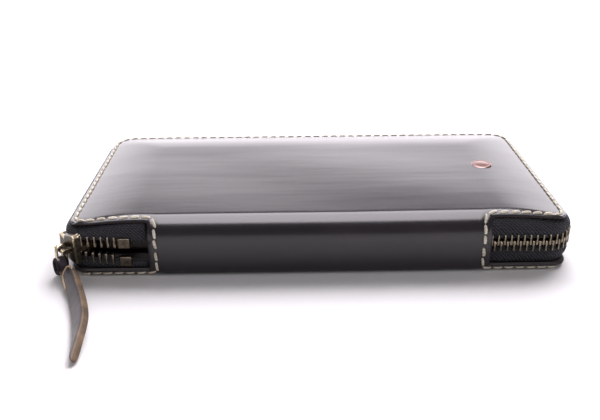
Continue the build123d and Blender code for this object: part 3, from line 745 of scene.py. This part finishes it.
RUNS, CORNERS = zip_runs()
CORNER_RUN = (ZIP_RADIUS - TOOTH_DEPTH / 2) * math.pi / 2
ZIP_RUN = sum(run[0] for run in RUNS) + 4 * CORNER_RUN
SLIDER_WAY = RUNS[0][0] + CORNER_RUN * (270 - SLIDER_ANGLE) / 90
MEET_WAY = SLIDER_WAY + SLIDER_TAIL
MOUTH_WAY = SLIDER_WAY - SLIDER_MOUTH


def zip_place(way):
    """Point and outward direction on the chain's outer face."""
    for index, (length, start, outward) in enumerate(RUNS):
        if way <= length or index == len(RUNS) - 1:
            heading = math.radians(outward - 90)
            angle = math.radians(outward)
            point = Vector((start[0] + way * math.cos(heading), start[1] + way * math.sin(heading), 0))
            return point, Vector((math.cos(angle), math.sin(angle), 0))
        way -= length
        if way <= CORNER_RUN:
            angle = math.radians(outward - 90 * way / CORNER_RUN)
            out = Vector((math.cos(angle), math.sin(angle), 0))
            return Vector((*CORNERS[index], 0)) + out * ZIP_RADIUS, out
        way -= CORNER_RUN


def row_shift(way, upper):
    """How far a row stands away from its closed place."""
    if way >= MEET_WAY:
        return 0.0
    if way >= MOUTH_WAY:
        return (MEET_WAY - way) * SPREAD_SLOPE
    mouth = (MEET_WAY - MOUTH_WAY) * SPREAD_SLOPE
    at_stop = OPEN_UPPER if upper else OPEN_LOWER
    return mouth + (at_stop - mouth) * min(1.0, (MOUTH_WAY - way) / (MOUTH_WAY - STOP_WAY))


def tooth_shape():
    """One tooth, outward along X, across along Y, its head down: points and faces."""
    work = bmesh.new()
    outline = [(-0.46, 0.0), (-0.46, 1.6), (-0.26, 2.1), (-0.34, 4.2), (0.34, 4.2), (0.26, 2.1),
               (0.46, 1.6), (0.46, 0.0)]
    rings = [[Vector((x, y, z)) for y, z in outline] for x in (-TOOTH_DEPTH, 0.0)]
    points, faces = loft(rings)
    corners = [work.verts.new(point) for point in points]
    for face in faces:
        work.faces.new([corners[k] for k in face])
    bmesh.ops.recalc_face_normals(work, faces=work.faces)
    bmesh.ops.bevel(work, geom=work.edges[:], offset=0.16, segments=2, profile=0.6, affect="EDGES",
                    clamp_overlap=True)
    work.verts.index_update()
    points = [vert.co.copy() for vert in work.verts]
    faces = [tuple(vert.index for vert in face.verts) for face in work.faces]
    work.free()
    return points, faces


def teeth_piece(name, upper):
    """One row of teeth along the zip."""
    shape, sides = tooth_shape()
    sign = 1 if upper else -1
    way = STOP_WAY + STOP_LENGTH + FIRST_TOOTH + (0 if upper else TOOTH_PITCH / 2)
    points, faces = [], []
    while way < ZIP_RUN - LAST_TOOTH:
        place, out = zip_place(way)
        level = SPLIT_Z + sign * (row_shift(way, upper) - TOOTH_OVERLAP / 2)
        tangent = Vector((-out.y, out.x, 0))
        tooth = [place + out * p.x + tangent * p.y + UP * (level + sign * p.z) for p in shape]
        add_shape(points, faces, tooth, sides)
        way += TOOTH_PITCH
    return make_object(name, points, faces, [ZIP_METAL])


def tape_profile(place, upper, grip, slack):
    """Depths and heights of a tape's outer face, from inside the cover to the teeth."""
    front = smoothstep((-44 - place.y) / 4)
    if upper:
        x = max(-COVER_HALF, min(COVER_HALF, place.x))
        y = max(-46.0, min(COVER_BACK, place.y))
        edge = dome(x, y) - LEATHER
        start = [(5.2, edge - 0.6 * front), (3.2, edge - 0.6 * front), (1.9, edge - 0.2 - 1.0 * front),
                 (1.3, edge - 0.6 - 1.4 * front)]
    else:
        edge = 2.4 - 0.7 * front
        start = [(5.2, edge), (3.2, edge), (2.0, edge + 0.1), (1.25, edge + 0.6)]
    first = start[-1][1]
    hanging = [(0.75 - slack * 0.6, 0.22), (0.55 - slack, 0.45), (0.75 - slack * 0.5, 0.72),
               (0.9, 0.93), (0.9, 1.0)]
    return start + [(depth + 0.25 * front, first + (grip - first) * part) for depth, part in hanging]


def tape_piece(name, upper):
    """A woven tape: it leaves the cover's edge, bows outwards and ends under the teeth."""
    sign = 1 if upper else -1
    rings = []
    way = 0.0
    while way <= ZIP_RUN:
        place, out = zip_place(way)
        slack = 0.35 + 0.25 * math.sin(way / 13.0) * math.sin(way / 31.0 + 1)
        grip = SPLIT_Z + sign * (1.65 + row_shift(way, upper))
        profile = tape_profile(place, upper, grip, slack)
        back = [(depth + 0.55, z - sign * 0.12) for depth, z in reversed(profile)]
        rings.append([place - out * depth + UP * z for depth, z in profile + back])
        way += 1.5
    return subdivide(make_object(name, *loft(rings), [TAPE]))


def cad_copy(node, bevel, split=0):
    """A CAD node's shape with softened edges, and its faces split so that edge wear can show."""
    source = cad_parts[node]
    piece = bpy.data.objects.new(f"{node}_piece", source.data.copy())
    bpy.context.scene.collection.objects.link(piece)
    work = bmesh.new()
    work.from_mesh(piece.data)
    bmesh.ops.remove_doubles(work, verts=work.verts, dist=1e-6)
    bmesh.ops.dissolve_limit(work, angle_limit=math.radians(1.0), verts=work.verts, edges=work.edges)
    sharp = [edge for edge in work.edges if len(edge.link_faces) == 2
             and edge.calc_face_angle(0.0) > math.radians(32)]
    bmesh.ops.bevel(work, geom=sharp, offset=bevel * MM, segments=2, profile=0.6, affect="EDGES",
                    clamp_overlap=True)
    work.to_mesh(piece.data)
    work.free()
    piece.data.polygons.foreach_set("use_smooth", [True] * len(piece.data.polygons))
    if split:
        fine = piece.modifiers.new("split", "SUBSURF")
        fine.subdivision_type = "SIMPLE"
        fine.levels = split
        fine.render_levels = split
    weighted = piece.modifiers.new("normals", "WEIGHTED_NORMAL")
    weighted.keep_sharp = True
    return apply_modifiers(piece)


def dress(piece, material, slot, body, *nodes):
    """Give a piece its material and the body it rides on, and hide the nodes it stands for; slot is not
    used.
    """
    piece.data.materials.clear()
    piece.data.materials.append(material)
    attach(piece, body)
    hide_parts(*nodes)


def cad_piece(node, bevel, material, slot, body, split=0):
    """A softened copy of a CAD node that stands for it."""
    dress(cad_copy(node, bevel, split), material, slot, body, node)


def stud_piece():
    """A plain turned stud: a low dome inside a rolled rim."""
    low, high = (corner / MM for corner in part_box("emblem_stud"))
    centre = (low + high) / 2
    radius = (high.x - low.x) / 2
    tall = high.z - low.z
    profile = [(1.0, 0.0), (1.0, 0.35), (0.96, 0.62), (0.86, 0.74), (0.78, 0.62), (0.68, 0.64),
               (0.45, 0.88), (0.22, 0.98), (0.04, 1.0)]
    rings = []
    for wide, part in profile:
        middle = Vector((centre.x, centre.y, low.z + tall * part))
        rings.append(oval(middle, RIGHT, BACK, radius * wide, radius * wide, 32))
    return subdivide(make_object("stud", *loft(rings), [STUD_METAL]))


for row, upper, body in (("upper", True, "top_cover"), ("lower", False, "bottom_cover")):
    teeth = teeth_piece(f"teeth_{row}", upper)
    dress(teeth, ZIP_METAL, "zip_metal", body, f"zip_teeth_{row}")
    tape = tape_piece(f"tape_{row}", upper)
    dress(tape, TAPE, "zip_tape", body, f"zip_tape_{row}")
    cad_piece(f"zip_top_stop_{row}", 0.55, ZIP_METAL, "zip_metal", body, 2)
cad_piece("zip_bottom_stop", 0.3, ZIP_METAL, "zip_metal", "spine")
cad_piece("slider_body", 0.3, SLIDER_METAL, "slider_metal", "zip_slider", 3)
cad_piece("slider_bridge", 0.25, SLIDER_METAL, "slider_metal", "zip_slider", 3)
dress(stud_piece(), STUD_METAL, "stud_metal", "top_cover", "emblem_stud")


# ---- bail and pull
BAIL_RADIUS = 16.55
BAIL_TOP_Z = 10.8
BAIL_DROP = 6.0            # length of the link's straight sides
BAIL_TURN = 1.9            # radius of its two round ends
BAIL_WIRE = 0.6
OUT = Vector((math.cos(math.radians(SLIDER_ANGLE)), math.sin(math.radians(SLIDER_ANGLE)), 0))
MOUTHWARD = Vector((-OUT.y, OUT.x, 0))
BAIL_PLACE = LEFT_CORNER + OUT * BAIL_RADIUS


def bail_piece():
    """Wire link with round ends and straight sides."""
    rings = []
    for turn in turns(56):
        across = BAIL_TURN * math.cos(turn)
        up = BAIL_TURN * math.sin(turn) + (0 if math.sin(turn) >= 0 else -BAIL_DROP)
        centre = BAIL_PLACE + OUT * across + UP * (BAIL_TOP_Z + up)
        radial = (OUT * math.cos(turn) + UP * math.sin(turn)).normalized()
        rings.append(oval(centre, radial, MOUTHWARD, BAIL_WIRE, BAIL_WIRE, 12))
    return make_object("bail", *loft(rings, looped=True), [SLIDER_METAL])


dress(bail_piece(), SLIDER_METAL, "slider_metal", "zip_pull", "pull_bail")


STRAP_ROLL = math.radians(48)       # the tab leans on one edge
STRAP_THICK = 3.0
STRAP_STATIONS = [  # left edge of the tab's upper face, head to tip, and the face's width there
    ((-97.4, -54.6, 5.2), 1.6),
    ((-98.3, -56.0, 3.9), 4.6),
    ((-97.3, -60.0, 2.7), 5.8),
    ((-91.6, -74.0, 2.2), 6.1),
    ((-87.0, -88.5, 2.2), 6.6),
    ((-84.8, -98.0, 2.2), 4.0),
    ((-82.8, -109.0, 2.2), 0.8),
]
HEAD_RINGS = 4                      # rings of the tab's rounded head
LIP_RINGS = 6                       # how far the tan rim goes round it
LIP = (0.42, 0.34)
NECK_RINGS = 8
NECK_WIDTH = 4.2
LOOP_HALF = (1.7, 3.2)              # half depth and half height of the loop's centre line
LOOP_WIDTH = 4.8
LOOP_THICK = 1.5
LOOP_CENTRE = BAIL_PLACE + OUT * 0.7 - MOUTHWARD * 0.4 + UP * 4.3


def band_section(centre, wide, thick, width, depth, soft=0.35):
    """A rounded rectangle across a strip of leather."""
    a, b = width / 2, depth / 2
    soft = min(soft, a * 0.6)
    lower = [(-a, -b + soft), (-a + soft, -b), (0.0, -b), (a - soft, -b), (a, -b + soft),
             (a + 0.08, 0.0)]
    outline = lower + [(-x, -y) for x, y in lower]
    return [centre + wide * x + thick * y for x, y in outline]


def band_kinds(rings, face, edge):
    """Material numbers of a band's faces: its two broad sides and its cut edges."""
    return [face if side in (1, 2, 7, 8) else edge for row in range(rings - 1) for side in range(12)]


def strap_frames():
    """Centre, width direction, thickness direction and width at the stations and halfway between.

    A halfway point lies on the smooth curve through its four nearest stations."""
    stations = [Vector((*corner, width)) for corner, width in STRAP_STATIONS]
    line = [stations[0]]
    for before, a, b, after in zip(stations[:1] + stations, stations, stations[1:],
                                   stations[2:] + stations[-1:]):
        line += [(a + b) * 0.5625 - (before + after) * 0.0625, b]
    frames = []
    for k, (*corner, width) in enumerate(line):
        ahead = (line[min(k + 1, len(line) - 1)] - line[max(k - 1, 0)]).xy.normalized()
        level = Vector((-ahead.y, ahead.x, 0))
        wide = level * math.cos(STRAP_ROLL) + UP * math.sin(STRAP_ROLL)
        thick = UP * math.cos(STRAP_ROLL) - level * math.sin(STRAP_ROLL)
        centre = Vector(corner) + wide * (width / 2) - thick * (STRAP_THICK / 2)
        frames.append((centre, wide, thick, width))
    return frames


def strap_piece():
    """Leather pull: a thick tab with a rounded head and a slanted tip, that leans on the table."""
    rings = [band_section(centre, wide, thick, width, STRAP_THICK, 0.8 if k < HEAD_RINGS else 0.35)
             for k, (centre, wide, thick, width) in enumerate(strap_frames())]
    points, faces = loft(rings)
    for point in points:
        point.z = max(point.z, 0.12)
    kinds = band_kinds(HEAD_RINGS, 0, 2) + band_kinds(len(rings) - HEAD_RINGS + 1, 0, 1) + [2, 1]
    piece = make_object("strap", points, faces, [STRAP_FACE, STRAP_EDGE, TAN_EDGE], kinds)
    return subdivide(piece, 2)


def lip_piece():
    """The fold's cut edge, a thin tan rim round the pull's head."""
    left, right = [], []
    for centre, wide, thick, width in strap_frames()[:LIP_RINGS]:
        face = centre + thick * (STRAP_THICK / 2)
        left.append((face - wide * (width / 2), thick))
        right.append((face + wide * (width / 2), thick))
    line = left[::-1] + right[:-1]
    rings = []
    for k, (place, n) in enumerate(line):
        tangent = (line[min(k + 1, len(line) - 1)][0] - line[max(k - 1, 0)][0]).normalized()
        rings.append(oval(place, tangent.cross(n).normalized(), n, *LIP, 8))
    return subdivide(make_object("strap_lip", *loft(rings), [TAN_EDGE]))


def neck_piece():
    """The twisted neck that joins the loop's wall to the tab."""
    start = LOOP_CENTRE + MOUTHWARD * 1.8 - UP * 1.6
    end, end_wide, _, _ = strap_frames()[HEAD_RINGS]
    ahead = (end - start).normalized()
    rings = []
    for k in range(NECK_RINGS):
        part = k / (NECK_RINGS - 1)
        wide = (-OUT).lerp(end_wide, smoothstep(part))
        wide = (wide - ahead * wide.dot(ahead)).normalized()
        centre = start.lerp(end, part) - UP * (0.5 * math.sin(math.pi * part))
        rings.append(band_section(centre, wide, wide.cross(ahead), NECK_WIDTH, LOOP_THICK + 0.9 * part))
    kinds = band_kinds(NECK_RINGS, 0, 1) + [1, 1]
    return subdivide(make_object("strap_neck", *loft(rings), [STRAP_FACE, STRAP_EDGE], kinds))


def loop_piece():
    """The end of the pull, folded round the bail."""
    half, tall = LOOP_HALF
    rings = []
    for turn in turns(28):
        radial = (MOUTHWARD * (math.cos(turn) / half) + UP * (math.sin(turn) / tall)).normalized()
        middle = LOOP_CENTRE + MOUTHWARD * (half * math.cos(turn)) + UP * (tall * math.sin(turn))
        rings.append(band_section(middle, OUT, radial, LOOP_WIDTH, LOOP_THICK, 0.5))
    materials = [STRAP_FACE, LEATHER_EDGE]
    kinds = band_kinds(len(rings) + 1, 0, 1)
    return subdivide(make_object("strap_loop", *loft(rings, looped=True), materials, kinds))


for piece in (strap_piece(), lip_piece(), neck_piece(), loop_piece()):
    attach(piece, "pull_strap")
    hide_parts("pull_strap")


# ---- inside
def soft_sheet(name, half, y0, y1, low, thickness, material, under, corner):
    """A thin leather sheet with rounded corners and edges.  under gives how far it hangs at a place."""
    us = steps(-half, half, 0.9, 6.0, 3.0)
    vs = steps(y0, y1, 0.9, 5.0, 3.0)
    points, index = [], {}
    for layer in (0, 1):
        for j, y in enumerate(vs):
            for i, x in enumerate(us):
                px, py = rounded(x, y, half, y0, y1, corner)
                rim = min(half - abs(x), y - y0, y1 - y)
                pinch = 0.3 * (1 - smoothstep(rim / 0.9))
                crease = 0.10 * math.exp(-((y1 - y - 2.2) / 0.7) ** 2)
                seam = 0.22 * math.exp(-(x / 0.9) ** 2)
                sink = under(px, py) if under else 0.0
                z = low - sink + (thickness * (1 - pinch) if layer else thickness * pinch)
                z -= (crease + seam) * (thickness if layer else -thickness)
                index[layer, i, j] = len(points)
                points.append(Vector((px, py, z)))
    faces = sheet_faces(index, len(us), len(vs))
    shift = len(points) // 2
    faces += [(a, b, b + shift, a + shift) for a, b in open_edges(faces[::2])]
    return make_object(name, points, faces, [material])


def hang(x, y):
    """How far the inner layers of the top cover hang below its middle."""
    return max(droop(abs(x) - FLAT_HALF, COVER_HALF - FLAT_HALF),
               droop(y - FLAT_BACK, COVER_BACK - FLAT_BACK))


def lift(x, y):
    """The bottom lining turns up with its cover, so it hangs less than nothing."""
    return -rise(min(COVER_HALF - abs(x), COVER_BACK - y))


def sheet_for(node, material, slot, body, under=None, corner=2.5, thickness=None):
    """A soft sheet in the place of a flat CAD node."""
    low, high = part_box(node)
    thick = thickness or (high.z - low.z) / MM
    z = (high.z / MM - thick) if under else low.z / MM
    piece = soft_sheet(f"{node}_piece", high.x / MM, low.y / MM, high.y / MM, z, thick, material, under,
                       corner)
    dress(piece, material, slot, body, node)


sheet_for("lining_bottom", LINING, "lining_leather", "bottom_cover", lift, 6.0, 0.5)
sheet_for("lining_top", LINING, "lining_leather", "top_cover", hang, 6.0, 0.5)
sheet_for("card_panel_bottom", POCKET, "pocket_leather", "bottom_cover")
sheet_for("card_panel_top", POCKET, "pocket_leather", "top_cover", hang, 2.5, 0.6)
for number in range(1, 5):
    sheet_for(f"card_pocket_bottom_{number}", POCKET, "pocket_leather", "bottom_cover")
    sheet_for(f"card_pocket_top_{number}", POCKET, "pocket_leather", "top_cover", hang, 2.5, 0.5)
for wall in ("lower", "upper"):
    sheet_for(f"coin_pocket_{wall}_wall", LINING, "pocket_leather", "spine")
for node in ("coin_pocket_side_left", "coin_pocket_side_right", "coin_pocket_base", "lining_spine"):
    slot = "lining_leather" if node == "lining_spine" else "pocket_leather"
    cad_piece(node, 0.12, LINING, slot, "spine")


GUSSET = 0.22
GUSSET_RISE = 0.65                  # between the edge and the fold of a closed gusset
GUSSET_EDGES = (86.0, 93.0)         # at the coin pocket and at the cover
GUSSET_FOLD = 72.0
GUSSET_MOUTH = 10.0
GUSSET_LENGTH = 51.0                # 3 mm less than the CAD's, so that the slider clears it


def gusset_piece(side, upper):
    """A V-folded panel between a cover and the coin pocket."""
    z_low = 15.15 if upper else 5.9
    first, last = GUSSET_EDGES if upper else reversed(GUSSET_EDGES)
    line = []
    for k in range(25):
        t = k / 24
        if t < 0.5:
            x = first + (GUSSET_FOLD - first) * t * 2
        else:
            x = GUSSET_FOLD + (last - GUSSET_FOLD) * (t * 2 - 1)
        x = max(x, GUSSET_FOLD + 0.6 * math.exp(-((t - 0.5) * 14) ** 2))
        line.append((side * x, z_low + 2 * GUSSET_RISE * t))
    rings = []
    for j in range(28):
        y = GUSSET_MOUTH - GUSSET_LENGTH * j / 27
        low = [Vector((x, y + 0.6 * math.sin(x), z)) for x, z in line]
        high = [Vector((x, y + 0.6 * math.sin(x), z + GUSSET)) for x, z in reversed(line)]
        rings.append(low + high)
    name = f"gusset_{'upper' if upper else 'lower'}_{'left' if side < 0 else 'right'}"
    piece = make_object(f"{name}_piece", *loft(rings), [POCKET])
    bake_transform(piece)
    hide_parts(name)


for side in (-1, 1):
    for upper in (True, False):
        gusset_piece(side, upper)


# ---- coin zip
for row in ("upper", "lower"):
    cad_piece(f"coin_zip_teeth_{row}", 0.1, ZIP_METAL, "zip_metal", "spine")
    cad_piece(f"coin_zip_tape_{row}", 0.1, TAPE, "zip_tape", "spine")
for end in ("open", "closed"):
    cad_piece(f"coin_zip_stop_{end}_end", 0.25, ZIP_METAL, "zip_metal", "spine")
for part in ("body", "bridge"):
    cad_piece(f"coin_slider_{part}", 0.2, SLIDER_METAL, "slider_metal", "coin_slider")
cad_piece("coin_pull_tab", 0.25, SLIDER_METAL, "slider_metal", "coin_pull")


# ---- floor, light and camera
def floor():
    n = Nodes("floor")
    tone = n.ramp(n.noise(3.0, 2.0), (0.3, (0.93, 0.93, 0.93)), (0.7, (0.95, 0.95, 0.95)))
    material = n.finish(tone, 0.6, Specular_IOR_Level=0.2)
    half = 3000.0
    piece = make_object("floor", [(-half, -half, 0), (half, -half, 0), (half, half, 0), (-half, half, 0)],
                        [(0, 1, 2, 3)], [material])


COOL_WHITE = (1.0, 0.955, 1.0)


def panel_light(name, place, target, size, size_y, radiance):
    """A soft box of even brightness."""
    data = bpy.data.lights.new(name, "AREA")
    data.shape = "RECTANGLE"
    data.size = size
    data.size_y = size_y
    data.energy = radiance * math.pi * size * size_y
    data.color = COOL_WHITE
    light = bpy.data.objects.new(name, data)
    light.location = place
    light.rotation_euler = (Vector(target) - Vector(place)).to_track_quat("-Z", "Y").to_euler()
    bpy.context.scene.collection.objects.link(light)
    return light


def studio():
    """A soft key light, a low backdrop and an overhead panel that only shows in reflections."""
    world = bpy.data.worlds.new("world")
    bpy.context.scene.world = world
    world.use_nodes = True
    background = world.node_tree.nodes["Background"]
    background.inputs["Color"].default_value = (*COOL_WHITE, 1.0)
    background.inputs["Strength"].default_value = 0.26
    key = panel_light("key", (0.35, 1.05, 1.25), (0.0, 0.0, 0.0), 1.5, 0.9, 11.0)
    key.visible_glossy = False
    panel_light("backdrop", (0.0, 1.6, 0.36), (0.0, 0.0, 0.10), 3.2, 0.70, 2.8)
    reflector = panel_light("reflector", (0.0, -0.10, 1.1), (0.0, -0.10, 0.0), 1.1, 1.9, 8.0)
    reflector.visible_diffuse = False
    bpy.context.scene.view_settings.view_transform = "Standard"


def camera():
    """In front of the wallet and a little left of its middle, looking down at 25 degrees."""
    yaw, pitch, roll = 0.0133, 0.4436, -0.0078
    place = (-0.01104, -0.30459, 0.14738)
    forward = Vector((math.sin(yaw) * math.cos(pitch), math.cos(yaw) * math.cos(pitch), -math.sin(pitch)))
    right = Vector((math.cos(yaw), -math.sin(yaw), 0))
    up = right.cross(forward)
    tilted_right = right * math.cos(roll) + up * math.sin(roll)
    tilted_up = up * math.cos(roll) - right * math.sin(roll)
    data = bpy.data.cameras.new("camera")
    data.sensor_width = 36.0
    data.lens = 44.868
    data.clip_start = 0.01
    lens = bpy.data.objects.new("camera", data)
    axes = Matrix((tilted_right, tilted_up, -forward)).transposed().to_4x4()
    lens.matrix_world = Matrix.Translation(place) @ axes
    bpy.context.scene.collection.objects.link(lens)
    bpy.context.scene.camera = lens


floor()
studio()
camera()
